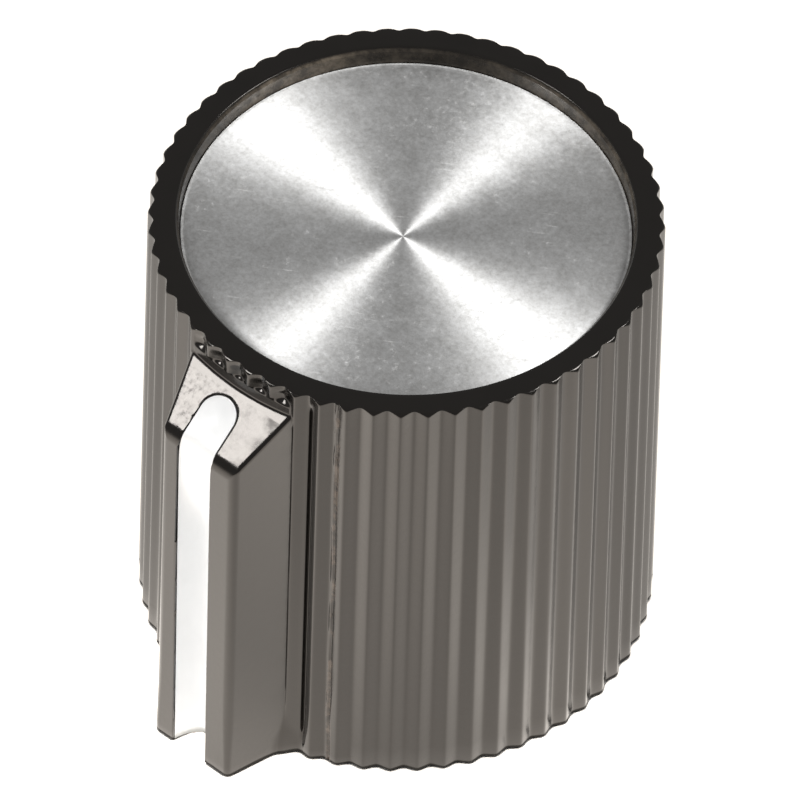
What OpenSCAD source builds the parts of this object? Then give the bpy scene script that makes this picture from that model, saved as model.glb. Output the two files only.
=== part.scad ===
// Pointer knob for a round shaft: fluted skirt, raised pointer rib with a filled
// groove, and a turned metal disc sunk in the rim.
// Millimetres. The shaft axis is Z, the base rim stands on z = 0, and the
// pointer lies along -Y.

/* [Skirt] */
// Diameter over the flute crests at the base
base_d = 16.0; // [15.4:0.1:17.6]
// Diameter over the flute crests at the top
top_d = 15.4; // [14.6:0.1:15.8]
// Height from the base rim to the top of the rim
height = 16.55; // [16:0.05:19]
// Number of upright flutes round the skirt
flutes = 60; // [48:4:60]
// Depth of each flute below its crests
flute_depth = 0.15; // [0.08:0.01:0.2]
// Width of the flat left on each crest
crest_land = 0.08; // [0.05:0.01:0.15]
// Bevel round the outer top edge
rim_bevel = 0.14; // [0.05:0.01:0.3]

/* [Disc recess] */
// Diameter of the recess at its mouth
recess_d = 13.72; // [13.6:0.01:14]
// Diameter of the recess at its floor
recess_floor_d = 13.48; // [13.46:0.01:13.7]
// Depth of the disc's face below the rim
disc_drop = 0.57; // [0.2:0.01:1]
// Diameter of the disc
disc_d = 13.44; // [12.8:0.01:13.46]
// Thickness of the disc
disc_t = 0.5; // [0.3:0.05:1]
// Rounded edge of the disc
disc_edge = 0.08; // [0.02:0.01:0.15]
// Diameter of the adhesive pad
pad_d = 12.6; // [8:0.1:13]
// Thickness of the adhesive pad
pad_t = 0.08; // [0.04:0.01:0.2]

/* [Pointer rib] */
// Reach of the pointer's outer face from the axis, at the base
pointer_reach = 9.7; // [9.5:0.05:11]
// Width of the outer face at the base
pointer_w = 2.92; // [2:0.01:3.5]
// Angle of each flank to the pointer's centre line
flank_angle = 16.5; // [5:0.5:30]
// Draft of the outer face
face_draft = 1.1; // [0.5:0.02:1.8]
// Draft of the flanks
flank_draft = 0.6; // [0.3:0.02:2]
// Slope of the pointer's top facet below the horizontal
facet_slope = 35.9; // [25:0.1:45]
// Height at which the facet meets the skirt on the centre line
facet_z = 15.38; // [14:0.01:15.8]
// Height of the plain band under the short flutes above the facet
band_z = 15.85; // [15.4:0.01:16.2]

/* [Groove] */
// Width of the groove
groove_w = 1.27; // [0.8:0.01:1.6]
// Depth of the groove below the outer face
groove_depth = 1.0; // [0.4:0.05:1.2]
// Depth of the groove below the facet
groove_top_depth = 0.55; // [0.3:0.05:0.8]
// Distance up the facet from its outer edge to the centre of the groove's round end
groove_end = 1.22; // [0.8:0.01:1.3]
// Radius of the hollow in the face of the fill
fill_hollow_r = 0.8; // [0.8:0.01:2]
// Gap between the end of the fill and the base
fill_lift = 0.06; // [0:0.02:0.4]

/* [Shaft and screw] */
// Diameter of the shaft bore
bore_d = 6.4; // [6.0:0.01:6.5]
// Diameter of the shaft bush
bush_d = 9.2; // [8.5:0.1:10]
// Length of the shaft bush
bush_len = 10.0; // [8:0.5:11]
// Width of the bush's keying groove
key_w = 1.4; // [0.8:0.1:2]
// Depth of the bush's keying groove
key_depth = 0.5; // [0.2:0.1:0.8]
// Diameter of the clearance under the knob for the control's threaded neck
neck_d = 12.2; // [11:0.1:12.6]
// Depth of the clearance under the knob
neck_depth = 2.4; // [1:0.1:3]
// Height of the set screw's axis
screw_z = 7.0; // [5:0.1:8]
// Thread diameter of the set screw
screw_d = 3.0; // [2.5:0.5:3]
// Length of the set screw
screw_len = 4.0; // [3:0.5:4]
// Distance from the axis to the set screw's point
screw_tip = 3.3; // [3.26:0.01:3.5]
// Diameter of the set screw's hole in the skirt
screw_hole_d = 3.3; // [3.1:0.1:4.4]
// Width across the flats of the set screw's socket
socket_af = 1.5; // [1.2:0.1:2]

/* [Hidden] */
$fn = 96;
base_r = base_d / 2;
top_r = top_d / 2;
skirt_draft = atan((base_r - top_r) / height);
pitch = 360 / flutes;
disc_top = height - disc_drop;
disc_bottom = disc_top - disc_t;
recess_floor = disc_bottom - pad_t;
bush_top = neck_depth + bush_len;
key_z = bush_top - 1.4 - key_w;
// Facet: distance from the axis where it meets the skirt, and its outer edge
facet_in = base_r - facet_z * tan(skirt_draft);
facet_out = (pointer_reach - (facet_z + facet_in * tan(facet_slope)) * tan(face_draft))
          / (1 - tan(facet_slope) * tan(face_draft));
facet_out_z = facet_z - (facet_out - facet_in) * tan(facet_slope);
big = 40;

// Half-space blocks -------------------------------------------------------

// Everything behind the pointer's drafted outer face, moved in by d
module behind_face(d = 0) {
  translate([0, -pointer_reach + d, 0]) rotate([-face_draft, 0, 0])
    translate([-big / 2, 0, -big / 2]) cube([big, big, big]);
}

// Everything inside one drafted flank (s = 1 on +X, -1 on -X)
module inside_flank(s) {
  mirror([s > 0 ? 0 : 1, 0, 0])
    translate([pointer_w / 2, -pointer_reach, 0]) rotate([0, 0, -flank_angle]) rotate([0, -flank_draft, 0])
      translate([-big, -big / 2, -big / 2]) cube([big, big, big]);
}

// Everything under the facet plane, moved down by d
module under_facet(d = 0) {
  translate([0, -facet_in, facet_z]) rotate([facet_slope, 0, 0])
    translate([-big / 2, -big / 2, -big - d]) cube([big, big, big]);
}

// Skirt -------------------------------------------------------------------

module skirt_blank() {
  rim_r = top_r + (base_r - top_r) * rim_bevel / height;
  rotate_extrude(convexity = 4)
    polygon([[0, 0], [base_r, 0], [rim_r, height - rim_bevel], [top_r - rim_bevel, height], [0, height]]);
}

// One V-shaped flute, parallel to the skirt's side
module flute() {
  half_w = (2 * PI * top_r / flutes - crest_land) / 2;
  out = 0.4;
  k = (flute_depth + out) / flute_depth;
  translate([base_r, 0, 0]) rotate([0, -skirt_draft, 0]) translate([0, 0, -1])
    linear_extrude(height = height + 3)
      polygon([[-flute_depth, 0], [out, half_w * k], [out, -half_w * k]]);
}

module fluted_skirt() {
  difference() {
    skirt_blank();
    for (i = [0 : flutes - 1]) rotate([0, 0, i * pitch]) flute();
  }
}

// Pointer rib, and the plain band that closes the flutes behind it
module pointer() {
  intersection() {
    translate([-big / 2, -big - 7.1, 0]) cube([big, big, band_z]);
    inside_flank(1);
    inside_flank(-1);
    union() {
      intersection() {
        behind_face();
        under_facet();
      }
      skirt_blank();
    }
  }
}

// Groove: straight down the outer face, then up the facet to a round end
module groove() {
  intersection() {
    translate([-groove_w / 2, -pointer_reach - 1, -1]) cube([groove_w, pointer_reach - 6, facet_out_z + 1 - 0.3]);
    difference() {
      translate([-5, -pointer_reach - 1, -1]) cube([10, 8, 30]);
      behind_face(groove_depth);
    }
  }
  translate([0, -facet_out, facet_out_z]) rotate([facet_slope, 0, 0]) translate([0, 0, -groove_top_depth]) {
    translate([0, groove_end, 0]) cylinder(d = groove_w, h = 2);
    translate([-groove_w / 2, -1.5, 0]) cube([groove_w, groove_end + 1.5, 2]);
  }
}

module bush_outline() {
  difference() {
    translate([0, 0, neck_depth]) cylinder(d = bush_d, h = bush_len);
    translate([0, 0, key_z]) difference() {
      cylinder(d = bush_d + 2, h = key_w);
      translate([0, 0, -1]) cylinder(d = bush_d - 2 * key_depth, h = key_w + 2);
    }
  }
}

module along_screw() {
  translate([0, 0, screw_z]) rotate([-90, 0, 0]) children();
}

// Pieces ------------------------------------------------------------------

module knob_body() {
  color([0.05, 0.047, 0.045]) difference() {
    union() {
      fluted_skirt();
      pointer();
    }
    // recess for the disc
    translate([0, 0, recess_floor])
      cylinder(d1 = recess_floor_d, d2 = recess_d, h = height - recess_floor);
    translate([0, 0, height - 0.001]) cylinder(d = recess_d, h = 1);
    // neck clearance
    translate([0, 0, -1]) cylinder(d = neck_d, h = neck_depth + 1);
    bush_outline();
    // set screw's hole
    along_screw() translate([0, 0, bush_d / 2 - 0.5]) cylinder(d = screw_hole_d, h = 6);
    groove();
  }
}

module cap_disc() {
  color([0.80, 0.80, 0.79]) translate([0, 0, disc_bottom]) rotate_extrude()
    polygon([[0, 0], [disc_d / 2 - disc_edge, 0], [disc_d / 2, disc_edge], [disc_d / 2, disc_t - disc_edge],
             [disc_d / 2 - disc_edge, disc_t], [0, disc_t]]);
}

module cap_adhesive() {
  color([0.85, 0.80, 0.62]) translate([0, 0, recess_floor]) cylinder(d = pad_d, h = pad_t);
}

module indicator_fill() {
  hollow_out = sqrt(pow(fill_hollow_r, 2) - pow(groove_w / 2, 2));
  color([0.97, 0.97, 0.96]) difference() {
    intersection() {
      groove();
      behind_face(0.02);
      under_facet(0.05);
      translate([-5, -20, fill_lift]) cube([10, 20, 30]);
    }
    // hollow face down the groove
    translate([0, -pointer_reach - hollow_out, 0]) rotate([-face_draft, 0, 0])
      translate([0, 0, -2]) cylinder(r = fill_hollow_r, h = facet_out_z + 1.4);
  }
}

module shaft_insert() {
  color([0.72, 0.58, 0.28]) difference() {
    bush_outline();
    translate([0, 0, neck_depth - 1]) cylinder(d = bore_d, h = bush_len + 2);
    // lead-in at the mouth
    translate([0, 0, neck_depth - 0.001]) cylinder(d1 = bore_d + 0.8, d2 = bore_d, h = 0.4);
    // tapped hole for the set screw
    along_screw() cylinder(d = screw_d + 0.04, h = 8);
  }
}

module set_screw() {
  color([0.35, 0.35, 0.36]) along_screw() translate([0, 0, screw_tip]) difference() {
    rotate_extrude()
      polygon([[0, 0.25], [0.5, 0], [screw_d / 2 - 0.55, 0], [screw_d / 2, 0.55], [screw_d / 2, screw_len - 0.25],
               [screw_d / 2 - 0.25, screw_len], [0, screw_len]]);
    translate([0, 0, screw_len - 1.4]) rotate([0, 0, 30]) cylinder(d = socket_af / cos(30), h = 2, $fn = 6);
  }
}

knob_body();
cap_disc();
cap_adhesive();
indicator_fill();
shaft_insert();
set_screw();
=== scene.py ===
import math

import bmesh
import bpy
import numpy as np
from mathutils import Matrix, Vector


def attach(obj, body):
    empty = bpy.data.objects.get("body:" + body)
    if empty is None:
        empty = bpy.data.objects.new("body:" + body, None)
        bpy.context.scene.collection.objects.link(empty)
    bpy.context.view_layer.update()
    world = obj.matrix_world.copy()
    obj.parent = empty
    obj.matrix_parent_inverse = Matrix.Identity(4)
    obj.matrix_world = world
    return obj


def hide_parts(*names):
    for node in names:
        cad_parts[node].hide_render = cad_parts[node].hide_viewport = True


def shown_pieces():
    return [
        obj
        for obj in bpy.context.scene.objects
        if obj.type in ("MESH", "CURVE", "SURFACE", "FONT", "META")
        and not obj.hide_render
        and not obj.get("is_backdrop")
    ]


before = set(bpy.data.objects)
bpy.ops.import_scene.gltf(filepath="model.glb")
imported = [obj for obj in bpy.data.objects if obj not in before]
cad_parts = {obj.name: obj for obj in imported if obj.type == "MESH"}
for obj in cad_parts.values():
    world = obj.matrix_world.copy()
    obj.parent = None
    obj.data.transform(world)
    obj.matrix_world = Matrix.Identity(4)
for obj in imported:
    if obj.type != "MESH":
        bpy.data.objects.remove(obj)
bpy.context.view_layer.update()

MM = 0.001


# ---------------------------------------------------------------- dimensions
# Millimetres, in the part's own frame. Azimuth 0 is the pointer (-Y) and grows
# towards +X.
H = 16.55                    # height of the rim
R_BASE, R_TOP = 8.0, 7.70    # flute crests at the base and the rim
N_FLUTES = 60
PITCH = 360.0 / N_FLUTES
FLUTE = 0.15                 # flute depth
RIM_R = 0.14                 # rounding of the rim's outer edge
BASE_R = 0.085               # rounding of the base edge
MOUTH_R, RECESS_R, RECESS_FLOOR_R = 6.865, 6.785, 6.738
RECESS_Z = 15.40
DISC_TOP, DISC_T, DISC_R = 15.98, 0.5, 6.725
REACH, FACE_DRAFT = 9.70, math.radians(1.1)
HALF_W, FLANK_A, FLANK_DRAFT = 1.46, math.radians(16.5), math.radians(0.6)
FACET_A, FACET_Z = math.radians(35.9), 15.38
FACET_IN = R_BASE - (R_BASE - R_TOP) * FACET_Z / H
BAND_Z = 15.85
GROOVE_W = 0.637             # half width of the groove
GROOVE_D, GROOVE_TOP_D = 0.98, 0.53
GROOVE_END = 1.22
FACET_OUT = (REACH - (FACET_Z + FACET_IN * math.tan(FACET_A)) * math.tan(FACE_DRAFT)) / (
    1 - math.tan(FACET_A) * math.tan(FACE_DRAFT))
FACET_OUT_Z = FACET_Z - (FACET_OUT - FACET_IN) * math.tan(FACET_A)


# ---------------------------------------------------------------- small tools
def smoothstep(x, a, b):
    t = np.clip((x - a) / (b - a), 0.0, 1.0)
    return t * t * (3 - 2 * t)


def and_round(r, *d):
    """Signed distance of an intersection whose convex edges are rounded by r."""
    d = np.stack(d)
    u = np.maximum(d + r, 0.0)
    return np.minimum(d.max(0), -r) + np.sqrt((u * u).sum(0))


def or_round(r, a, b):
    """Signed distance of a union whose concave edge is rounded by r."""
    u, v = np.maximum(r - a, 0.0), np.maximum(r - b, 0.0)
    return np.maximum(np.minimum(a, b), r) - np.sqrt(u * u + v * v)


def wave(x, seed, octaves=4, base=1.0):
    """Smooth repeatable noise along one coordinate."""
    g = np.random.default_rng(seed)
    y = np.zeros_like(np.asarray(x, float))
    for k in range(octaves):
        for _ in range(3):
            f = base * 2.0 ** k * g.uniform(0.7, 1.4)
            y = y + np.sin(x * f + g.uniform(0, 6.283)) / 2.0 ** k / 3
    return y


def new_object(name, verts_mm, faces, smooth_deg=40.0):
    me = bpy.data.meshes.new(name)
    me.from_pydata([tuple(v) for v in (np.asarray(verts_mm, float) * MM)], [], faces)
    me.validate()
    me.polygons.foreach_set("use_smooth", [True] * len(me.polygons))
    if smooth_deg:
        me.set_sharp_from_angle(angle=math.radians(smooth_deg))
    me.update()
    o = bpy.data.objects.new(name, me)
    bpy.context.scene.collection.objects.link(o)
    return o


def lathe(profile, n=192, closed=False):
    """Verts and faces of a profile [(r, z)] turned about Z. A radius of 0 makes one pole vertex."""
    verts, rings = [], []
    for r, z in profile:
        if r < 1e-9:
            rings.append([len(verts)])
            verts.append((0.0, 0.0, z))
        else:
            rings.append(list(range(len(verts), len(verts) + n)))
            for k in range(n):
                a = 2 * math.pi * k / n
                verts.append((r * math.cos(a), r * math.sin(a), z))
    faces = []
    pairs = list(zip(rings[:-1], rings[1:]))
    if closed:
        pairs.append((rings[-1], rings[0]))
    for a, b in pairs:
        for k in range(n):
            k2 = (k + 1) % n
            if len(a) == 1 and len(b) == 1:
                continue
            if len(a) == 1:
                faces.append((a[0], b[k2], b[k]))
            elif len(b) == 1:
                faces.append((a[k], a[k2], b[0]))
            else:
                faces.append((a[k], a[k2], b[k2], b[k]))
    return verts, faces


def arc(cx, cz, r, a0, a1, n):
    return [(cx + r * math.cos(math.radians(a)), cz + r * math.sin(math.radians(a))) for a in np.linspace(a0, a1, n)]


def cut(obj, tool):
    """Takes the tool's volume out of obj for good, and deletes the tool."""
    m = obj.modifiers.new("cut", "BOOLEAN")
    m.operation, m.solver, m.object = "DIFFERENCE", "EXACT", tool
    bpy.context.view_layer.update()
    dg = bpy.context.evaluated_depsgraph_get()
    me = bpy.data.meshes.new_from_object(obj.evaluated_get(dg))
    # close up the slivers that the cut leaves where its seam passes a vertex
    bm = bmesh.new()
    bm.from_mesh(me)
    bmesh.ops.dissolve_degenerate(bm, dist=2e-8, edges=bm.edges)
    bm.to_mesh(me)
    bm.free()
    old = obj.data
    obj.modifiers.clear()
    obj.data = me
    bpy.data.meshes.remove(old)
    bpy.data.objects.remove(tool)
    return obj


# ---------------------------------------------------------------- moulded body
def flute_height(u):
    """Height over the valley, 0 at the valley (u = 0) to 1 at the crest (u = 1), with both ends rounded."""
    s = np.linspace(0, 1, 801)
    a, b = 0.20, 0.13
    slope = s / np.sqrt(s * s + a * a) * (1 - s) / np.sqrt((1 - s) ** 2 + b * b)
    h = np.concatenate([[0], np.cumsum((slope[1:] + slope[:-1]) / 2)])
    return np.interp(u, s, h / h[-1])


def crest_r(z):
    return R_BASE - (R_BASE - R_TOP) * z / H


def skirt_r(az, z):
    """Radius of the fluted skirt. The flutes behind the pointer stop short above its facet."""
    az, z = np.broadcast_arrays(np.asarray(az, float), np.asarray(z, float))
    t = np.abs((az / PITCH + 0.5) % 1.0 - 0.5) * 2
    near = 1 - smoothstep(np.abs(az), 13.9, 14.4)
    deep = FLUTE + 0.012 * smoothstep(z, 15.0, 16.3) + 0.04 * near * (1 - smoothstep(z, 16.15, 16.4))
    depth = deep * (1 - flute_height(t))
    band = 0.10 * np.clip(1 - (az / 15.0) ** 2, 0, 1)
    shelf = 0.02 + 0.9 * np.maximum(deep - band, 0)
    stop = 1 - near * (1 - smoothstep((z - BAND_Z) / shelf, 0.0, 1.0))
    r = crest_r(z) - depth * stop - band * (1 - stop)
    # crease in the flute beside the pointer, and a fine one at the foot of the rib's flanks
    tall = smoothstep(z, 0.45, 1.3) * (1 - smoothstep(z, 15.7, 16.3))
    r = r - 0.18 * tall * np.exp(-((az - 18.85) / 0.50) ** 2)
    root = 14.90 - 0.14 * z / 15.0
    r = r - 0.06 * smoothstep(z, 2.0, 3.5) * (1 - smoothstep(z, 15.0, 15.4)) * np.exp(-((np.abs(az) - root) / 0.13) ** 2)
    # witness line of the mould two flutes on: a nick with a low ridge beside it
    d = az - (25.1 + 0.16 * wave(z, 3, 4, 0.9) + 0.08 * wave(z, 4, 3, 5.0))
    height = 0.75 + 0.55 * wave(z, 5, 4, 2.5)
    r = r + np.where(np.abs(d) < 2.0, height * (0.018 * np.exp(-((d + 0.62) / 0.34) ** 2) - 0.034 * np.exp(-(d / 0.2) ** 2)), 0)
    return r


def groove_c(z):
    """Sideways offset of the groove's centre line, which leans a little."""
    z = np.asarray(z, float)
    return -0.088 - 0.006 * np.minimum(z, 13.2) + 0.055 * smoothstep(z, 13.2, 14.4)


def groove_d(z):
    """Depth of the groove below the outer face, running out towards the facet."""
    return GROOVE_D - (GROOVE_D - GROOVE_TOP_D) * smoothstep(z, 11.9, 13.4)


def body_f(r, az, z):
    """Signed distance-like function of the moulding's outside, negative inside."""
    a = np.radians(az)
    along, perp = r * np.cos(a), r * np.sin(a)
    face = (along - (REACH - z * math.tan(FACE_DRAFT))) * math.cos(FACE_DRAFT)

    def flank(s):
        return ((s * perp - HALF_W) * math.cos(FLANK_A) + (along - REACH) * math.sin(FLANK_A)
                + z * math.tan(FLANK_DRAFT)) * math.cos(FLANK_DRAFT)

    facet = ((z - FACET_Z) + (along - FACET_IN) * math.tan(FACET_A)) * math.cos(FACET_A)
    # upright edges, then the facet's edges, which are rounder along the outer face than along the flanks
    upright = and_round(0.14 + 0.08 * smoothstep(z, 0.0, 3.0), face, flank(1), flank(-1))
    crown = np.maximum(and_round(0.27, face, facet), and_round(0.12, np.maximum(flank(1), flank(-1)), facet))
    rib = np.maximum(np.maximum(upright, crown), 7.0 - along)
    skirt = (r - skirt_r(az, z)) * 0.96
    fillet = 0.03 + 0.02 * smoothstep(z, 14.95, 15.35) + 0.40 * (1 - smoothstep(z, 0.1, 1.8))
    out = or_round(fillet, skirt, rib)
    # groove, with a little draft so that it opens outwards
    up = (FACET_OUT - along) * math.cos(FACET_A) + (z - FACET_OUT_Z) * math.sin(FACET_A)
    depth = np.clip(np.minimum(-face, -facet), 0, 1)
    side = np.sqrt((perp - groove_c(z)) ** 2 + np.maximum(up - GROOVE_END, 0.0) ** 2) - (GROOVE_W - 0.06 * depth)
    floor = np.maximum(face + groove_d(z), facet + GROOVE_TOP_D)
    return and_round(0.03 + 0.010 * smoothstep(z, 14.2, 14.9), out, np.minimum(-side, floor))


def solve_r(az, z):
    """Outermost radius of the moulding at each azimuth and height."""
    az, z = np.broadcast_arrays(np.asarray(az, float), np.asarray(z, float))
    hi = np.full(az.shape, 10.2)
    # walk in from outside to bracket the first crossing, then bisect
    lo = hi.copy()
    found = np.zeros(az.shape, bool)
    for step in np.arange(10.2, 6.9, -0.05):
        f = body_f(np.full(az.shape, step), az, z)
        inside = (f <= 0) & ~found
        lo = np.where(inside, step, lo)
        hi = np.where(inside, step + 0.05, hi)
        found |= inside
        if found.all():
            break
    for _ in range(22):
        mid = (lo + hi) / 2
        f = body_f(mid, az, z)
        lo, hi = np.where(f <= 0, mid, lo), np.where(f <= 0, hi, mid)
    return (lo + hi) / 2


def unique(a, tol=1e-6):
    a = np.sort(np.asarray(a))
    return a[np.concatenate([[True], np.diff(a) > tol])]


def build_body():
    # columns: azimuths round the skirt
    half = np.array([0, 0.07, 0.15, 0.25, 0.42, 0.62, 0.79, 0.88, 0.94])
    plain = []
    for k in range(N_FLUTES):
        c = k * PITCH
        plain += list(c + half * PITCH / 2)
        plain += list(c + PITCH - half[1:] * PITCH / 2)
        plain.append(c + PITCH / 2)
    plain = unique(plain)
    plain = np.where(plain > 180, plain - 360, plain)
    D0, D1 = -18.0, 30.0
    fine = [np.arange(-18, -9.6, 0.14), np.arange(-9.6, -7.2, 0.13), np.arange(-7.2, -4.7, 0.25), np.arange(-4.7, -3.0, 0.075),
            np.arange(-3.0, 3.0, 0.25), np.arange(3.0, 4.7, 0.075), np.arange(4.7, 7.2, 0.25), np.arange(7.2, 9.6, 0.13),
            np.arange(9.6, 18.001, 0.14)]
    wing = [plain[(plain >= 18) & (plain <= 30)], np.arange(17.6, 19.9, 0.075), np.arange(23.6, 24.6, 0.12), np.arange(24.6, 25.8, 0.07),
            np.arange(14.4, 15.2, 0.05), np.arange(-15.2, -14.4, 0.05)]
    fine = unique(np.concatenate(fine + wing + [[D0, D1, -15, -12, -9, -6, -3, 0, 3, 6, 9, 12, 15, 18]]), 0.012)
    rest = plain[(plain < D0 - 1e-6) | (plain > D1 + 1e-6)]
    rest = np.sort(np.where(rest < D0, rest + 360, rest))          # runs from D1 round to D0 + 360
    # rows: heights on the side wall
    z_rim = H - RIM_R
    coarse_z = np.array([BASE_R, 1.0, 3.5, 6.0, 8.5, 11.0, 13.4, 14.4, 15.3, 15.9, z_rim])
    fine_z = np.concatenate([np.arange(BASE_R, 13.4, 0.345), np.arange(13.4, 13.8, 0.08), np.arange(13.8, 14.6, 0.032),
                             np.arange(14.6, 15.2, 0.04), np.arange(15.2, 15.83, 0.028), np.arange(15.83, 16.06, 0.015), np.arange(16.06, z_rim, 0.06)])
    fine_z = np.sort(np.concatenate([coarse_z, [z for z in fine_z if np.abs(coarse_z - z).min() > 0.01]]))
    is_coarse = np.array([np.abs(coarse_z - z).min() < 1e-9 for z in fine_z])
    verts, index = [], {}

    def put(key, p):
        index[key] = len(verts)
        verts.append(p)
        return index[key]

    cols = [("f", i, a) for i, a in enumerate(fine)] + [("c", i, a) for i, a in enumerate(rest)]
    az = np.array([c[2] for c in cols])
    # base rounding, side, rim rounding, then the shared inner rings
    n_col = len(cols)
    base_a = np.linspace(0, 90, 5)[:-1]                 # from the flat base up to the wall
    rim_a = np.linspace(0, 90, 11)[1:]
    r_foot = solve_r(az, np.full(n_col, BASE_R))
    r_rim = skirt_r(az, np.full(n_col, z_rim))
    r_ctr = crest_r(z_rim) - RIM_R
    grid_fine = solve_r(fine[None, :], fine_z[:, None])
    grid_rest = solve_r(rest[None, :], coarse_z[:, None])

    def xyz(r, a_deg, z):
        a = math.radians(a_deg)
        return (r * math.sin(a), -r * math.cos(a), z)

    columns = []        # each column: list of vertex ids from the base up to the rim's top, and which of them are coarse
    for j, (kind, i, a) in enumerate(cols):
        ids, coarse = [], []
        for b in base_a:
            z, inset = BASE_R * (1 - math.cos(math.radians(b))), BASE_R * (1 - math.sin(math.radians(b)))
            ids.append(put(("b", j, b), xyz(r_foot[j] - inset, a, z)))
            coarse.append(True)
        if kind == "f":
            for k, z in enumerate(fine_z):
                ids.append(put(("s", j, k), xyz(grid_fine[k, i], a, z)))
                coarse.append(bool(is_coarse[k]))
        else:
            for k, z in enumerate(coarse_z):
                ids.append(put(("s", j, k), xyz(grid_rest[k, i], a, z)))
                coarse.append(True)
        for b in rim_a:
            z = z_rim + RIM_R * math.sin(math.radians(b))
            turned = r_ctr + RIM_R * math.cos(math.radians(b))
            ids.append(put(("r", j, b), xyz(min(float(skirt_r(np.array(a), np.array(z))), turned), a, z)))
            coarse.append(True)
        columns.append((kind, ids, coarse))

    faces = []
    for j in range(n_col):
        k = (j + 1) % n_col
        (ka, ia, ca), (kb, ib, cb) = columns[j], columns[k]
        if ka == kb:
            for m in range(len(ia) - 1):
                faces.append((ia[m], ib[m], ib[m + 1], ia[m + 1]))
        else:       # one side has more rows: faces with extra corners along that side
            sa = [m for m, c in enumerate(ca) if c]
            sb = [m for m, c in enumerate(cb) if c]
            for q in range(len(sa) - 1):
                left = ia[sa[q]:sa[q + 1] + 1]
                right = ib[sb[q]:sb[q + 1] + 1]
                faces.append(tuple(right) + tuple(reversed(left)))

    # rings inside the rim: the flat top, the recess, its floor
    def ring(r, z):
        return [put(("ring", len(verts), j), xyz(r, a, z)) for j, a in enumerate(az)]

    def bridge(lower, upper, flip=False):
        for j in range(n_col):
            k = (j + 1) % n_col
            f = (lower[j], lower[k], upper[k], upper[j])
            faces.append(tuple(reversed(f)) if flip else f)

    top = [c[1][-1] for c in columns]
    rings = [ring(7.30, H), ring(7.0, H)]
    rings += [ring(r, z) for r, z in arc(MOUTH_R + 0.03, H - 0.03, 0.03, 90, 170, 4)]
    rings += [ring(MOUTH_R - 0.02, H - 0.075), ring(RECESS_R, H - 0.13), ring(RECESS_R - 0.012, 16.2), ring(RECESS_FLOOR_R + 0.003, 15.96),
              ring(RECESS_FLOOR_R, RECESS_Z + 0.04), ring(RECESS_FLOOR_R - 0.04, RECESS_Z)]
    prev = top
    for r in rings:
        bridge(prev, r)
        prev = r
    pole = put(("pole", 0), (0, 0, RECESS_Z))
    inner = ring(3.0, RECESS_Z)
    bridge(prev, inner)
    for j in range(n_col):
        faces.append((inner[j], inner[(j + 1) % n_col], pole))
    # underside: base ring, neck clearance, bush seat
    foot = [c[1][0] for c in columns]
    prof = [(6.25, 0.0)] + arc(6.1 + 0.1, 0.1, 0.1, 270, 180, 4) + [(6.1, 1.2), (6.08, 2.3)] + arc(5.98, 2.3, 0.1, 0, 90, 4) + [
        (5.2, 2.4), (4.62, 2.4), (4.6, 2.44), (4.6, 9.6), (4.1, 9.6), (4.1, 11.0), (4.6, 11.0), (4.6, 12.4), (2.0, 12.4)]
    # the inner rings use fewer columns than the skirt
    n_in = 144
    def sparse(r, z):
        return [put(("in", len(verts), j), xyz(r, 360.0 * j / n_in, z)) for j in range(n_in)]

    first = sparse(*prof[0])
    # zip the many-column foot to the sparse ring by azimuth
    order = np.argsort(az % 360.0)
    foot_sorted = [foot[j] for j in order]
    foot_az = (az % 360.0)[order]
    i = j = 0
    n_f = len(foot_sorted)
    while i < n_f or j < n_in:
        a_next = foot_az[i + 1] if i + 1 < n_f else 360.0 + foot_az[0]
        b_next = 360.0 * (j + 1) / n_in
        if j >= n_in or (i < n_f and a_next <= b_next):
            faces.append((foot_sorted[(i + 1) % n_f], foot_sorted[i % n_f], first[j % n_in]))
            i += 1
        else:
            faces.append((foot_sorted[i % n_f], first[j % n_in], first[(j + 1) % n_in]))
            j += 1
    prev = first
    for r, z in prof[1:]:
        cur = sparse(r, z)
        for j in range(n_in):
            k = (j + 1) % n_in
            faces.append((prev[k], prev[j], cur[j], cur[k]))
        prev = cur
    pole2 = put(("pole", 1), (0, 0, 12.4))
    for j in range(n_in):
        faces.append((prev[(j + 1) % n_in], prev[j], pole2))
    o = new_object("knob_body_moulding", verts, faces, smooth_deg=None)
    bm = bmesh.new()
    bm.from_mesh(o.data)
    bmesh.ops.remove_doubles(bm, verts=bm.verts, dist=1e-8)
    bmesh.ops.recalc_face_normals(bm, faces=bm.faces)
    bm.to_mesh(o.data)
    bm.free()
    # hole for the set screw, opposite the pointer
    v, f = lathe([(0, 0), (1.65, 0), (1.65, 3.2), (1.72, 3.42), (1.9, 5.0), (0, 5.0)], 64)
    v = np.array(v)
    v = np.stack([v[:, 0], v[:, 2] + 4.3, 7.0 - v[:, 1]], 1)
    tool = new_object("hole_tool", v, f, None)
    bm = bmesh.new()
    bm.from_mesh(tool.data)
    bmesh.ops.recalc_face_normals(bm, faces=bm.faces)
    bm.to_mesh(tool.data)
    bm.free()
    cut(o, tool)
    o.data.polygons.foreach_set("use_smooth", [True] * len(o.data.polygons))
    o.data.set_sharp_from_angle(angle=math.radians(38))
    return o




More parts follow.
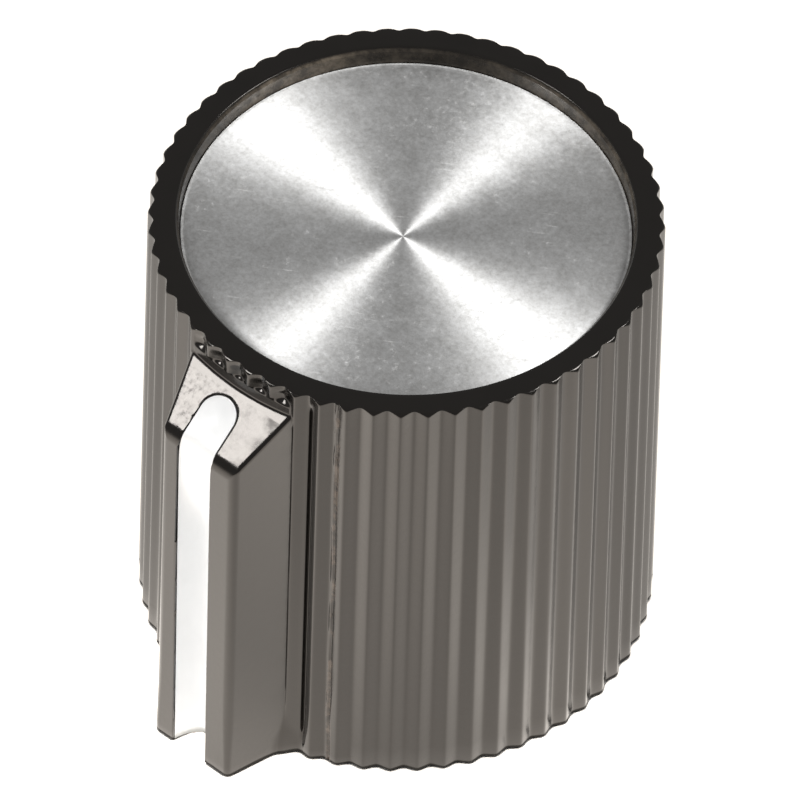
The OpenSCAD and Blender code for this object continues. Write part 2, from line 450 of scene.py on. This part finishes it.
# ---------------------------------------------------------------- white line
def build_fill():
    """Paint in the groove: a strip that follows the outer face, bends over the edge and runs up the facet to a round end,
    hollow across its width and curved at its lower end."""
    bend = 0.70
    p_corner = np.array([FACET_OUT, FACET_OUT_Z])
    d0 = np.array([-math.sin(FACE_DRAFT), math.cos(FACE_DRAFT)])
    d1 = np.array([-math.cos(FACET_A), math.sin(FACET_A)])
    turn = math.acos(float(d0 @ d1))
    t_len = bend * math.tan(turn / 2)
    n0 = np.array([d0[1], -d0[0]])
    path, normal, tag, end_w = [], [], [], []

    def add(p, n, k, w=1.0):
        path.append(p); normal.append(n); tag.append(k); end_w.append(w)

    start = p_corner - d0 * t_len
    length = start[1] / d0[1]
    for f in np.concatenate([np.linspace(0, 0.06, 5)[:-1], np.linspace(0.06, 1, 34)[:-1]]):
        add(start - d0 * length * (1 - f), n0, 0.0)
    centre = start - n0 * bend
    for f in np.linspace(0, 1, 22):
        a = -turn * f
        n = np.array([n0[0] * math.cos(a) + n0[1] * math.sin(a), -n0[0] * math.sin(a) + n0[1] * math.cos(a)])
        add(centre + n * bend, n, f)
    p1, n1 = path[-1], normal[-1]
    s1 = t_len
    for f in np.linspace(0, 1, 12)[1:]:
        add(p1 + d1 * (GROOVE_END - s1) * f, n1, 1.0)
    for a in np.concatenate([np.linspace(0, 80, 17)[1:], [84, 87, 89.2]]):
        add(p1 + d1 * (GROOVE_END - s1 + (GROOVE_W - 0.028) * math.sin(math.radians(a))), n1, 1.0, math.cos(math.radians(a)))
    path, normal, tag, end_w = map(np.array, (path, normal, tag, end_w))
    t = np.sin(np.linspace(-1, 1, 45) * math.pi / 2)
    front, back = [], []
    for i in range(len(path)):
        k = smoothstep(tag[i], 0.0, 1.0)
        # lower end: rows start on a curve
        run = float(groove_d(path[i][1]))
        pool = float(smoothstep(np.array(path[i][1]), 9.5, 13.2))
        deep = (run - 0.10) * (1 - pool) + 0.16 * pool if k == 0 else 0.16 * (1 - k) + 0.045 * k
        under = run - 0.03 if k == 0 else GROOVE_TOP_D - 0.03
        for sheet, m_mid, m_edge in ((front, deep, 0.075 * (1 - k) + 0.02 * k), (back, under, under)):
            row = []
            for u in t:
                m = m_edge + (m_mid - m_edge) * (1 - u * u) ** 0.75
                w = (GROOVE_W - 0.008 - 0.014 * k - 0.06 * m) * end_w[i]
                p = path[i] - normal[i] * m
                row.append((u * w + float(groove_c(p[1])) - 0.012 * k, p[0], p[1], u))
            sheet.append(row)
    front, back = np.array(front), np.array(back)
    # pull the lower end up to a hollow curve
    for sheet in (front, back):
        lift = 0.07 + 0.03 * (1 - sheet[0, :, 3] ** 2)
        z0 = sheet[0, :, 2].copy()
        z_ref = 1.2
        for i in range(sheet.shape[0]):
            w = np.clip(1 - (sheet[i, :, 2] - z0) / z_ref, 0, 1)
            sheet[i, :, 2] += lift * w
            if i == 0:
                sheet[i, :, 2] = np.maximum(sheet[i, :, 2], 0.03)
    # faint unevenness of the brushed-in paint
    uneven = 0.010 * np.array([[math.sin(3.1 * r[2] + 5 * r[3]) + math.sin(7.7 * r[2] - 3 * r[3] + 1) for r in row] for row in front])
    front[:, :, 1] += uneven * (1 - front[:, :, 3] ** 2)
    nr, nc = front.shape[:2]
    verts = [(r[0], -r[1], r[2]) for row in front for r in row] + [(r[0], -r[1], r[2]) for row in back for r in row]
    off = nr * nc
    faces = []
    for i in range(nr - 1):
        for j in range(nc - 1):
            a, b, c, d = i * nc + j, i * nc + j + 1, (i + 1) * nc + j + 1, (i + 1) * nc + j
            faces.append((a, b, c, d))
            faces.append((off + d, off + c, off + b, off + a))
    for i in range(nr - 1):
        for j in (0, nc - 1):
            a, b = i * nc + j, (i + 1) * nc + j
            faces.append((a, b, off + b, off + a) if j == 0 else (b, a, off + a, off + b))
    for j in range(nc - 1):
        faces.append((j + 1, j, off + j, off + j + 1))
        a = (nr - 1) * nc
        faces.append((a + j, a + j + 1, off + a + j + 1, off + a + j))
    o = new_object("indicator_fill_paint", verts, faces, None)
    bm = bmesh.new()
    bm.from_mesh(o.data)
    bmesh.ops.recalc_face_normals(bm, faces=bm.faces)
    bm.to_mesh(o.data)
    bm.free()
    o.data.set_sharp_from_angle(angle=math.radians(50))
    return o


# ---------------------------------------------------------------- turned disc
SPIN = (0.079, -0.244)       # centre of the turned finish, a little off the disc's own


def build_disc():
    z0, z1, r = DISC_TOP - DISC_T, DISC_TOP, DISC_R
    prof = [(0, z1), (1.0, z1), (2.5, z1), (4.0, z1), (5.5, z1), (6.3, z1), (r - 0.04, z1)]
    prof += arc(r - 0.018, z1 - 0.018, 0.018, 84, 0, 5)
    prof += [(r, z0 + 0.12)] + arc(r - 0.05, z0 + 0.05, 0.05, 0, -90, 4) + [(r - 0.4, z0), (3.0, z0), (0, z0)]
    v, f = lathe(list(reversed(prof)), 256)
    o = new_object("cap_disc_turned", v, f, 50)
    bm = bmesh.new()
    bm.from_mesh(o.data)
    bmesh.ops.recalc_face_normals(bm, faces=bm.faces)
    bm.to_mesh(o.data)
    bm.free()
    return o


# ---------------------------------------------------------------- brass bush
def build_insert():
    """Bush with a knurled outside, a keying groove, a bored and chamfered inside and a tapped cross hole."""
    n = 180
    prof = [(3.2, 12.4)] + [(3.2, z) for z in np.linspace(12.0, 3.0, 10)] + [(3.2, 2.80), (3.6, 2.40), (4.30, 2.40), (4.50, 2.44)]
    prof += [(4.595, 2.62)] + [(4.595, z) for z in np.linspace(3.0, 9.3, 22)] + [(4.55, 9.6), (4.12, 9.62), (4.12, 10.98), (4.55, 11.0)]
    prof += [(4.595, z) for z in np.linspace(11.2, 12.2, 5)] + [(4.5, 12.395), (4.0, 12.395)]
    verts, faces = [], []
    for r, z in prof:
        for k in range(n):
            a = 2 * math.pi * k / n
            rr = r
            if r > 4.56:       # diamond knurl
                rr = r - 0.11 * (0.5 + 0.25 * math.cos(45 * a + z * 5.2) + 0.25 * math.cos(45 * a - z * 5.2))
            verts.append((rr * math.cos(a), rr * math.sin(a), z))
    m = len(prof)
    for i in range(m):
        j = (i + 1) % m
        for k in range(n):
            q = (k + 1) % n
            faces.append((i * n + k, i * n + q, j * n + q, j * n + k))
    o = new_object("shaft_insert_bush", verts, faces, None)
    bm = bmesh.new()
    bm.from_mesh(o.data)
    bmesh.ops.recalc_face_normals(bm, faces=bm.faces)
    bmesh.ops.triangulate(bm, faces=bm.faces)          # the knurl's quads are not flat, and the cross hole cuts them
    bm.to_mesh(o.data)
    bm.free()
    v, f = lathe([(0, 0), (1.53, 0), (1.53, 8.0), (0, 8.0)], 48)
    v = np.array(v)
    tool = new_object("tap_tool", np.stack([v[:, 0], v[:, 2], 7.0 - v[:, 1]], 1), f, None)
    bm = bmesh.new()
    bm.from_mesh(tool.data)
    bmesh.ops.recalc_face_normals(bm, faces=bm.faces)
    bm.to_mesh(tool.data)
    bm.free()
    cut(o, tool)
    o.data.polygons.foreach_set("use_smooth", [True] * len(o.data.polygons))
    o.data.set_sharp_from_angle(angle=math.radians(35))
    return o


# ---------------------------------------------------------------- set screw
def build_screw():
    """Threaded grub screw with a cup point and a hexagon socket, along +Y."""
    pitch, n, per = 0.5, 48, 12
    length, tip = 4.0, 3.30
    ys = np.concatenate([[0.0, 0.10, 0.3], np.arange(0.45, 3.70, pitch / per), [3.75, 3.86, 4.0]])
    verts, faces = [], []
    for y in ys:
        fade = smoothstep(np.array(y), 0.3, 0.7) * (1 - smoothstep(np.array(y), 3.55, 3.8))
        cap = 1.498
        if y < 0.55:
            cap = 0.95 + y
        if y > 3.7:
            cap = 1.498 - (y - 3.7) * 0.8
        for k in range(n):
            a = 2 * math.pi * k / n
            ph = (y / pitch - k / n) % 1.0
            tri = abs(ph - 0.5) * 2                     # 1 at the root, 0 at the crest
            thread = 1.498 - 0.27 * float(np.clip((tri - 0.12) / 0.76, 0, 1)) * float(fade)
            r = min(cap, thread)
            verts.append((r * math.cos(a), tip + y, 7.0 + r * math.sin(a)))
    m = len(ys)
    for i in range(m - 1):
        for k in range(n):
            q = (k + 1) % n
            faces.append((i * n + k, i * n + q, (i + 1) * n + q, (i + 1) * n + k))
    inner = []
    for r, y in ((0.72, 0.0), (0.52, 0.10)):           # cup point
        inner.append(len(verts))
        for k in range(n):
            a = 2 * math.pi * k / n
            verts.append((r * math.cos(a), tip + y, 7.0 + r * math.sin(a)))
    c0 = len(verts); verts.append((0, tip + 0.26, 7.0))
    c1 = len(verts); verts.append((0, tip + length, 7.0))
    for k in range(n):
        q = (k + 1) % n
        faces.append((k, q, inner[0] + q, inner[0] + k))
        faces.append((inner[0] + k, inner[0] + q, inner[1] + q, inner[1] + k))
        faces.append((inner[1] + k, inner[1] + q, c0))
        faces.append(((m - 1) * n + k, (m - 1) * n + q, c1))
    o = new_object("set_screw_grub", verts, faces, None)
    v, f = lathe([(0, 0), (0.80, 0.22), (0.866, 0.30), (0.866, 1.36), (0.93, 1.55), (0, 1.55)], 6)
    v = np.array(v)
    tool = new_object("socket_tool", np.stack([v[:, 0], v[:, 2] + tip + length - 1.4, 7.0 - v[:, 1]], 1), f, None)
    for ob in (o, tool):
        bm = bmesh.new()
        bm.from_mesh(ob.data)
        bmesh.ops.recalc_face_normals(bm, faces=bm.faces)
        bm.to_mesh(ob.data)
        bm.free()
    cut(o, tool)
    o.data.polygons.foreach_set("use_smooth", [True] * len(o.data.polygons))
    o.data.set_sharp_from_angle(angle=math.radians(32))
    return o


body = build_body()
fill = build_fill()
disc = build_disc()
insert = build_insert()
screw = build_screw()
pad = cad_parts["cap_adhesive"]
for piece, node, slot in ((body, "knob_body", "black_plastic"), (fill, "indicator_fill", "white_paint"), (disc, "cap_disc", "turned_aluminium"),
                          (insert, "shaft_insert", "brass"), (screw, "set_screw", "screw_steel")):
    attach(piece, "root")
    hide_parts(node)


# ---------------------------------------------------------------- materials
class Nodes:
    """A short way to write a material's node tree."""

    def __init__(self, name):
        self.mat = bpy.data.materials.new(name)
        self.mat.use_nodes = True
        self.t = self.mat.node_tree
        self.bsdf = self.t.nodes["Principled BSDF"]

    def add(self, kind, **values):
        n = self.t.nodes.new(kind)
        for k, v in values.items():
            if k.startswith("_"):
                setattr(n, k[1:], v)
            else:
                n.inputs[k.replace("__", " ")].default_value = v
        return n

    def link(self, a, b):
        self.t.links.new(a, b)

    def object_coords(self):
        return self.add("ShaderNodeTexCoord").outputs["Object"]

    def math(self, op, a, b=None, clamp=False):
        n = self.add("ShaderNodeMath", _operation=op, _use_clamp=clamp)
        for i, x in enumerate((a, b)):
            if x is None:
                continue
            if isinstance(x, (int, float)):
                n.inputs[i].default_value = x
            else:
                self.link(x, n.inputs[i])
        return n.outputs[0]

    def noise(self, vec, scale, detail=3.0, rough=0.55, dims="3D", w=None):
        n = self.add("ShaderNodeTexNoise", _noise_dimensions=dims)
        n.inputs["Scale"].default_value = scale
        n.inputs["Detail"].default_value = detail
        n.inputs["Roughness"].default_value = rough
        if vec is not None:
            self.link(vec, n.inputs["Vector"])
        if w is not None:
            self.link(w, n.inputs["W"])
        return n.outputs["Fac"]

    def span(self, x, a, b, c, d):
        n = self.add("ShaderNodeMapRange")
        for i, v in zip((1, 2, 3, 4), (a, b, c, d)):
            n.inputs[i].default_value = v
        self.link(x, n.inputs[0])
        return n.outputs[0]

    def ramp(self, x, stops):
        n = self.add("ShaderNodeValToRGB")
        e = n.color_ramp.elements
        while len(e) < len(stops):
            e.new(0.5)
        for el, (p, c) in zip(e, stops):
            el.position, el.color = p, (*c, 1)
        self.link(x, n.inputs["Fac"])
        return n.outputs["Color"]

    def bump(self, height, strength, dist, normal=None):
        n = self.add("ShaderNodeBump", Strength=strength, Distance=dist)
        self.link(height, n.inputs["Height"])
        if normal is not None:
            self.link(normal, n.inputs["Normal"])
        return n.outputs["Normal"]

    def scaled(self, vec, s):
        n = self.add("ShaderNodeMapping")
        n.inputs["Scale"].default_value = s
        self.link(vec, n.inputs["Vector"])
        return n.outputs["Vector"]


def black_plastic():
    m = Nodes("black_plastic")
    p = m.object_coords()
    # colour: a warm black with a faint bloom
    bloom = m.noise(p, 420, 4)
    colour = m.ramp(bloom, [(0.3, (0.0022, 0.0018, 0.0014)), (0.75, (0.0040, 0.0033, 0.0027))])
    rough = m.noise(p, 900, 3)
    split = m.add("ShaderNodeSeparateXYZ")
    m.link(p, split.inputs[0])
    # glossy, but dull along the trimmed edge of the base
    trimmed = m.span(m.math("ADD", split.outputs["Z"], m.span(rough, 0.3, 0.7, -0.03e-3, 0.03e-3)), 0.115e-3, 0.18e-3, 0.75, 0.0)
    plain = m.math("ADD", m.span(rough, 0.3, 0.7, 0.12, 0.18), trimmed)
    # the pointer's facet is grained: distance from its plane, and distance out from the axis
    dot = m.add("ShaderNodeVectorMath", _operation="DOT_PRODUCT")
    dot.inputs[1].default_value = (0, -math.sin(FACET_A), math.cos(FACET_A))
    m.link(p, dot.inputs[0])
    plane = (FACET_Z * math.cos(FACET_A) + FACET_IN * math.sin(FACET_A)) * MM
    off = m.math("ABSOLUTE", m.math("SUBTRACT", dot.outputs["Value"], plane))
    on_facet = m.math("MULTIPLY", m.span(off, 0.006e-3, 0.02e-3, 1.0, 0.0), m.span(split.outputs["Y"], -7.80e-3, -7.76e-3, 1.0, 0.0))
    grain = m.noise(p, 6500, 3, 0.6)
    patch = m.noise(p, 1500, 2, 0.5)
    coarse = m.math("MULTIPLY", m.span(grain, 0.3, 0.7, -0.075, 0.075), m.span(split.outputs["X"], -1.6e-3, 1.2e-3, 1.7, 0.55))
    dulled = m.span(m.math("ADD", split.outputs["X"], m.span(patch, 0.3, 0.7, -0.2e-3, 0.2e-3)), 1.20e-3, 2.25e-3, 0.15, 0.38)
    grained = m.math("MULTIPLY", m.math("ADD", coarse, dulled), m.span(patch, 0.3, 0.7, 0.8, 1.25))
    mix = m.add("ShaderNodeMix", _data_type="FLOAT")
    m.link(on_facet, mix.inputs["Factor"])
    m.link(plain, mix.inputs["A"])
    m.link(grained, mix.inputs["B"])
    m.link(mix.outputs["Result"], m.bsdf.inputs["Roughness"])
    # moulded surface: drag lines from drawing it out of the mould, orange peel, fine pits, and the facet's grain
    peel = m.noise(p, 3800, 3, 0.5)
    pits = m.noise(p, 9000, 2, 0.5)
    drag = m.noise(m.scaled(p, (5200, 5200, 90)), 1.0, 3, 0.6)
    n0 = m.bump(drag, 1.0, 0.8e-6)
    n1 = m.bump(peel, 1.0, 2.4e-6, n0)
    n2 = m.bump(pits, 1.0, 0.8e-6, n1)
    relief = m.math("MULTIPLY", m.math("SUBTRACT", grain, 0.5), m.span(split.outputs["X"], -1.7e-3, 0.6e-3, 2.6, 0.9))
    n3 = m.bump(m.math("MULTIPLY", relief, on_facet), 1.0, 2.8e-6, n2)
    m.link(n3, m.bsdf.inputs["Normal"])
    m.bsdf.inputs["IOR"].default_value = 1.5
    m.bsdf.inputs["Specular Tint"].default_value = (1.0, 0.94, 0.885, 1)
    # scuffed, paler band where the mould's halves met, beside the pointer
    azimuth = m.math("ARCTAN2", split.outputs["X"], m.math("MULTIPLY", split.outputs["Y"], -1.0))
    wander = m.span(m.noise(p, 260, 3), 0.3, 0.7, -0.006, 0.006)
    gap = m.math("ABSOLUTE", m.math("ADD", m.math("SUBTRACT", azimuth, math.radians(24.9)), wander))
    worn = m.math("MULTIPLY", m.span(gap, 0.005, 0.014, 1.0, 0.0), m.span(m.noise(p, 2600, 4, 0.6), 0.42, 0.62, 0.0, 1.0))
    scuff = m.math("MULTIPLY", worn, m.span(split.outputs["Z"], 15.9e-3, 16.25e-3, 1.0, 0.0))
    tone = m.add("ShaderNodeMix", _data_type="RGBA")
    tone.inputs["B"].default_value = (0.075, 0.056, 0.043, 1)
    m.link(scuff, tone.inputs["Factor"])
    m.link(colour, tone.inputs["A"])
    # painted reflection: a warm, paler tone on the recess's wall above the disc, strongest at the back-left and
    # back-right, where the wall catches light off the disc
    plan = m.add("ShaderNodeVectorMath", _operation="MULTIPLY")
    plan.inputs[1].default_value = (1, 1, 0)
    m.link(p, plan.inputs[0])
    reach = m.add("ShaderNodeVectorMath", _operation="LENGTH")
    m.link(plan.outputs[0], reach.inputs[0])
    wall = m.math("MULTIPLY", m.span(reach.outputs["Value"], 6.84e-3, 6.87e-3, 1.0, 0.0), m.span(split.outputs["Z"], 15.9e-3, 16.0e-3, 0.0, 1.0))
    steps = [(-180, 0.45), (-150, 0.12), (-128, 0.35), (-116, 1.0), (-100, 0.95), (-84, 0.35), (-60, 0.15), (120, 0.15), (150, 0.4), (180, 0.45)]
    spread = m.ramp(m.span(azimuth, -math.pi, math.pi, 0.0, 1.0), [((d + 180) / 360, (v,) * 3) for d, v in steps])
    wall_reflection_mask = m.math("MULTIPLY", m.math("MULTIPLY", wall, spread), m.span(m.noise(p, 2100, 5, 0.7), 0.40, 0.62, 0.25, 1.0))
    wall_reflection_tone = m.add("ShaderNodeMix", _data_type="RGBA")
    wall_reflection_tone.inputs["B"].default_value = (0.20, 0.165, 0.125, 1)
    m.link(wall_reflection_mask, wall_reflection_tone.inputs["Factor"])
    m.link(tone.outputs["Result"], wall_reflection_tone.inputs["A"])
    m.link(wall_reflection_tone.outputs["Result"], m.bsdf.inputs["Base Color"])
    return m.mat


def turned_aluminium():
    m = Nodes("turned_aluminium")
    p = m.object_coords()
    sub = m.add("ShaderNodeVectorMath", _operation="SUBTRACT")
    sub.inputs[1].default_value = (SPIN[0] * MM, SPIN[1] * MM, 0)
    m.link(p, sub.inputs[0])
    flat = m.add("ShaderNodeVectorMath", _operation="MULTIPLY")
    flat.inputs[1].default_value = (1, 1, 0)
    m.link(sub.outputs[0], flat.inputs[0])
    radial = m.add("ShaderNodeVectorMath", _operation="NORMALIZE")
    m.link(flat.outputs[0], radial.inputs[0])
    m.link(radial.outputs[0], m.bsdf.inputs["Tangent"])
    ln = m.add("ShaderNodeVectorMath", _operation="LENGTH")
    m.link(flat.outputs[0], ln.inputs[0])
    rad = ln.outputs["Value"]
    rings = m.noise(None, 9000, 6, 0.7, "1D", rad)
    cloud = m.noise(p, 1300, 4, 0.6)
    speck = m.noise(p, 5200, 3, 0.6)
    stain = m.math("ADD", m.math("MULTIPLY", m.noise(p, 6200, 4, 0.75), 0.65), m.math("MULTIPLY", cloud, 0.35))
    m.link(m.ramp(stain, [(0.36, (0.70, 0.695, 0.68)), (0.64, (0.995, 0.995, 0.99))]), m.bsdf.inputs["Base Color"])
    # dull mottling all over, handling marks in loose clusters, a few fine scratches, and a duller edge
    mottle = m.span(m.noise(p, 4300, 4, 0.75), 0.3, 0.7, -0.085, 0.10)
    fleck = m.math("MULTIPLY", m.span(m.noise(p, 4800, 5, 0.75), 0.53, 0.68, 0.0, 0.26), m.span(m.noise(p, 330, 2), 0.36, 0.62, 0.10, 1.0))
    turn = m.add("ShaderNodeMapping")
    turn.inputs["Rotation"].default_value = (0, 0, math.radians(-31))
    m.link(p, turn.inputs["Vector"])
    line = m.noise(m.scaled(turn.outputs["Vector"], (520, 9000, 300)), 1.0, 2, 0.5)
    scratch = m.math("MULTIPLY", m.span(line, 0.63, 0.72, 0.0, 0.24), m.span(m.noise(p, 450, 2), 0.44, 0.60, 0.0, 1.0))
    reach = m.add("ShaderNodeVectorMath", _operation="LENGTH")
    plan = m.add("ShaderNodeVectorMath", _operation="MULTIPLY")
    plan.inputs[1].default_value = (1, 1, 0)
    m.link(p, plan.inputs[0])
    m.link(plan.outputs[0], reach.inputs[0])
    edge = m.math("ADD", m.span(reach.outputs["Value"], 6.50e-3, 6.60e-3, 0.0, 0.10),
                  m.span(reach.outputs["Value"], 6.63e-3, 6.655e-3, 0.0, 0.24))
    r1 = m.math("ADD", m.span(cloud, 0.3, 0.7, 0.505, 0.55), m.span(rings, 0.3, 0.7, -0.02, 0.03))
    r2 = m.math("ADD", m.math("ADD", r1, mottle), m.math("MAXIMUM", m.math("MAXIMUM", fleck, scratch), edge))
    m.link(r2, m.bsdf.inputs["Roughness"])
    n1 = m.bump(rings, 1.0, 0.9e-6)
    n2 = m.bump(speck, 1.0, 0.6e-6, n1)
    m.link(n2, m.bsdf.inputs["Normal"])
    m.bsdf.inputs["Metallic"].default_value = 1.0
    m.bsdf.inputs["Anisotropic"].default_value = 0.92
    return m.mat


def white_paint():
    m = Nodes("white_paint")
    p = m.object_coords()
    stain = m.noise(p, 700, 4)
    split = m.add("ShaderNodeSeparateXYZ")
    m.link(p, split.inputs[0])
    # painted light: darker down the outer face and lighter up the facet, to even out how differently the two are lit,
    # and painted shade at its lower end by the base
    lit_balance_tone = m.add("ShaderNodeMix", _data_type="RGBA")
    m.link(m.span(split.outputs["Z"], 13.1e-3, 14.2e-3, 0.0, 1.0), lit_balance_tone.inputs["Factor"])
    m.link(m.ramp(stain, [(0.3, (0.745, 0.765, 0.785)), (0.7, (0.78, 0.80, 0.82))]), lit_balance_tone.inputs["A"])
    m.link(m.ramp(stain, [(0.3, (0.865, 0.868, 0.865)), (0.7, (0.905, 0.908, 0.905))]), lit_balance_tone.inputs["B"])
    # painted shade: the white is darkened near its lower end, where it meets the floor
    foot_shade_tone = m.add("ShaderNodeMix", _data_type="RGBA")
    low = m.math("ADD", split.outputs["Z"], m.span(m.noise(p, 5000, 3), 0.3, 0.7, -0.04e-3, 0.04e-3))
    m.link(m.span(low, 0.13e-3, 0.34e-3, 1.0, 0.0), foot_shade_tone.inputs["Factor"])
    m.link(lit_balance_tone.outputs["Result"], foot_shade_tone.inputs["A"])
    m.link(m.ramp(stain, [(0.3, (0.30, 0.31, 0.30)), (0.7, (0.38, 0.39, 0.38))]), foot_shade_tone.inputs["B"])
    m.link(foot_shade_tone.outputs["Result"], m.bsdf.inputs["Base Color"])
    m.link(m.span(m.noise(p, 2500, 2), 0.3, 0.7, 0.38, 0.55), m.bsdf.inputs["Roughness"])
    m.link(m.bump(m.noise(p, 2600, 3), 1.0, 3e-6), m.bsdf.inputs["Normal"])
    return m.mat


def brass():
    m = Nodes("brass")
    p = m.object_coords()
    tool = m.noise(m.scaled(p, (200, 200, 9000)), 1.0, 3)
    m.link(m.ramp(m.noise(p, 500, 4), [(0.3, (0.62, 0.44, 0.17)), (0.7, (0.76, 0.58, 0.27))]), m.bsdf.inputs["Base Color"])
    m.link(m.span(tool, 0.3, 0.7, 0.22, 0.36), m.bsdf.inputs["Roughness"])
    m.link(m.bump(tool, 1.0, 2e-6), m.bsdf.inputs["Normal"])
    m.bsdf.inputs["Metallic"].default_value = 1.0
    return m.mat


def screw_steel():
    m = Nodes("screw_steel")
    p = m.object_coords()
    m.link(m.ramp(m.noise(p, 900, 4), [(0.3, (0.055, 0.055, 0.058)), (0.75, (0.13, 0.128, 0.125))]), m.bsdf.inputs["Base Color"])
    m.link(m.span(m.noise(p, 2500, 3), 0.3, 0.7, 0.28, 0.45), m.bsdf.inputs["Roughness"])
    m.link(m.bump(m.noise(p, 6000, 2), 1.0, 1.5e-6), m.bsdf.inputs["Normal"])
    m.bsdf.inputs["Metallic"].default_value = 1.0
    return m.mat


def adhesive():
    m = Nodes("adhesive")
    p = m.object_coords()
    m.link(m.ramp(m.noise(p, 800, 3), [(0.3, (0.62, 0.55, 0.36)), (0.7, (0.76, 0.70, 0.52))]), m.bsdf.inputs["Base Color"])
    m.link(m.span(m.noise(p, 1500, 2), 0.3, 0.7, 0.35, 0.6), m.bsdf.inputs["Roughness"])
    m.link(m.bump(m.noise(p, 1800, 2), 1.0, 4e-6), m.bsdf.inputs["Normal"])
    return m.mat


def paint_with(o, mat):
    o.data.materials.clear()
    o.data.materials.append(mat)


paint_with(body, black_plastic())
paint_with(disc, turned_aluminium())
paint_with(fill, white_paint())
paint_with(insert, brass())
paint_with(screw, screw_steel())
paint_with(pad, adhesive())

# ---------------------------------------------------------------- studio
# Directions are worked out in the camera's own frame (it looks along +Y there)
# and turned with it about Z.
TURN = math.radians(38.94)
CREST = 7.70 * MM


def turned(v):
    c, s = math.cos(TURN), math.sin(TURN)
    return Vector((c * v[0] - s * v[1], s * v[0] + c * v[1], v[2]))


cam_data = bpy.data.cameras.new("camera")
cam_data.lens, cam_data.sensor_width = 404.1, 36.0
cam_data.clip_start, cam_data.clip_end = 0.01, 5.0
cam = bpy.data.objects.new("camera", cam_data)
bpy.context.scene.collection.objects.link(cam)
elev, roll = math.radians(49.91), math.radians(-1.78)
fwd = Vector((0, math.cos(elev), -math.sin(elev)))
right0, up0 = Vector((1, 0, 0)), Vector((0, math.sin(elev), math.cos(elev)))
right = right0 * math.cos(roll) - up0 * math.sin(roll)
up = right0 * math.sin(roll) + up0 * math.cos(roll)
pos = (-right0 * 0.004 - up0 * (-0.680) - fwd * 36.31) * CREST
rot = Matrix((turned(right), turned(up), turned(-fwd))).transposed()
cam.matrix_world = Matrix.Translation(turned(pos)) @ rot.to_4x4()
bpy.context.scene.camera = cam


def softbox(name, direction, dist, size_x, size_y, radiance, colour=(1, 1, 1)):
    d = turned(direction).normalized()
    data = bpy.data.lights.new(name, "AREA")
    data.shape, data.size, data.size_y = "RECTANGLE", size_x, size_y
    data.energy = radiance * math.pi * size_x * size_y
    data.color = colour
    o = bpy.data.objects.new(name, data)
    bpy.context.scene.collection.objects.link(o)
    o.location = Vector((0, 0, 0.012)) + d * dist
    o.rotation_mode = "QUATERNION"
    o.rotation_quaternion = (-d).to_track_quat("-Z", "Y")
    return o


softbox("softbox_left", (-0.673, -0.189, 0.715), 0.40, 0.1165, 0.1165, 20.0)
softbox("softbox_right", (0.535, 0.110, 0.838), 0.40, 0.1165, 0.1165, 20.0)

# floor: a pale table with a painted glow, brightest round the part
v, f = lathe([(0, 0), (20, 0), (60, 0), (150, 0), (600, 0), (600, -4), (0, -4)], 128)
floor = new_object("floor", np.array(v) + [0, 0, -0.02], f, 30)
floor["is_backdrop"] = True
m = Nodes("floor")
p = m.object_coords()
ln = m.add("ShaderNodeVectorMath", _operation="LENGTH")
m.link(p, ln.inputs[0])
m.bsdf.inputs["Roughness"].default_value = 0.9
m.bsdf.inputs["Base Color"].default_value = (0.20, 0.20, 0.198, 1)
m.bsdf.inputs["Emission Color"].default_value = (1.14, 1.065, 0.98, 1)
# its painted glow changes with the direction seen from the part, shaping the reflections in the side walls, and painted
# contact shade darkens it in the crack under the part
turn = m.add("ShaderNodeMapping")
turn.inputs["Rotation"].default_value = (0, 0, math.pi / 2 - TURN)
m.link(p, turn.inputs["Vector"])
split = m.add("ShaderNodeSeparateXYZ")
m.link(turn.outputs["Vector"], split.inputs[0])
angle = m.math("ARCTAN2", split.outputs["Y"], split.outputs["X"])
steps = [(-180, 0.85), (-110, 0.95), (-82, 1.25), (-63, 2.1), (-46, 2.3), (-28, 2.0), (-10, 1.55), (0, 1.45), (10, 1.48), (25, 1.68),
         (40, 2.0), (53, 1.75), (68, 1.15), (90, 1.0), (180, 0.85)]
glow = m.ramp(m.span(angle, -math.pi, math.pi, 0.0, 1.0), [((d + 180) / 360, (v / 2.5,) * 3) for d, v in steps])
ao = m.add("ShaderNodeAmbientOcclusion", Distance=0.00015, _samples=8)
level = m.math("MULTIPLY", glow, m.span(ln.outputs["Value"], 0.04, 0.14, 2.5, 0.30))
m.link(m.math("MULTIPLY", level, m.span(ao.outputs["AO"], 0.50, 0.66, 0.0, 1.0)), m.bsdf.inputs["Emission Strength"])
paint_with(floor, m.mat)

world = bpy.data.worlds.new("studio")
world.use_nodes = True
world.node_tree.nodes["Background"].inputs["Color"].default_value = (1, 1, 1, 1)
world.node_tree.nodes["Background"].inputs["Strength"].default_value = 0.32
bpy.context.scene.world = world
bpy.context.scene.view_settings.view_transform = "Standard"
bpy.context.scene.view_settings.look = "None"

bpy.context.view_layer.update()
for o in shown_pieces():
    print(o.name, len(o.data.polygons), sum(len(q.vertices) - 2 for q in o.data.polygons))
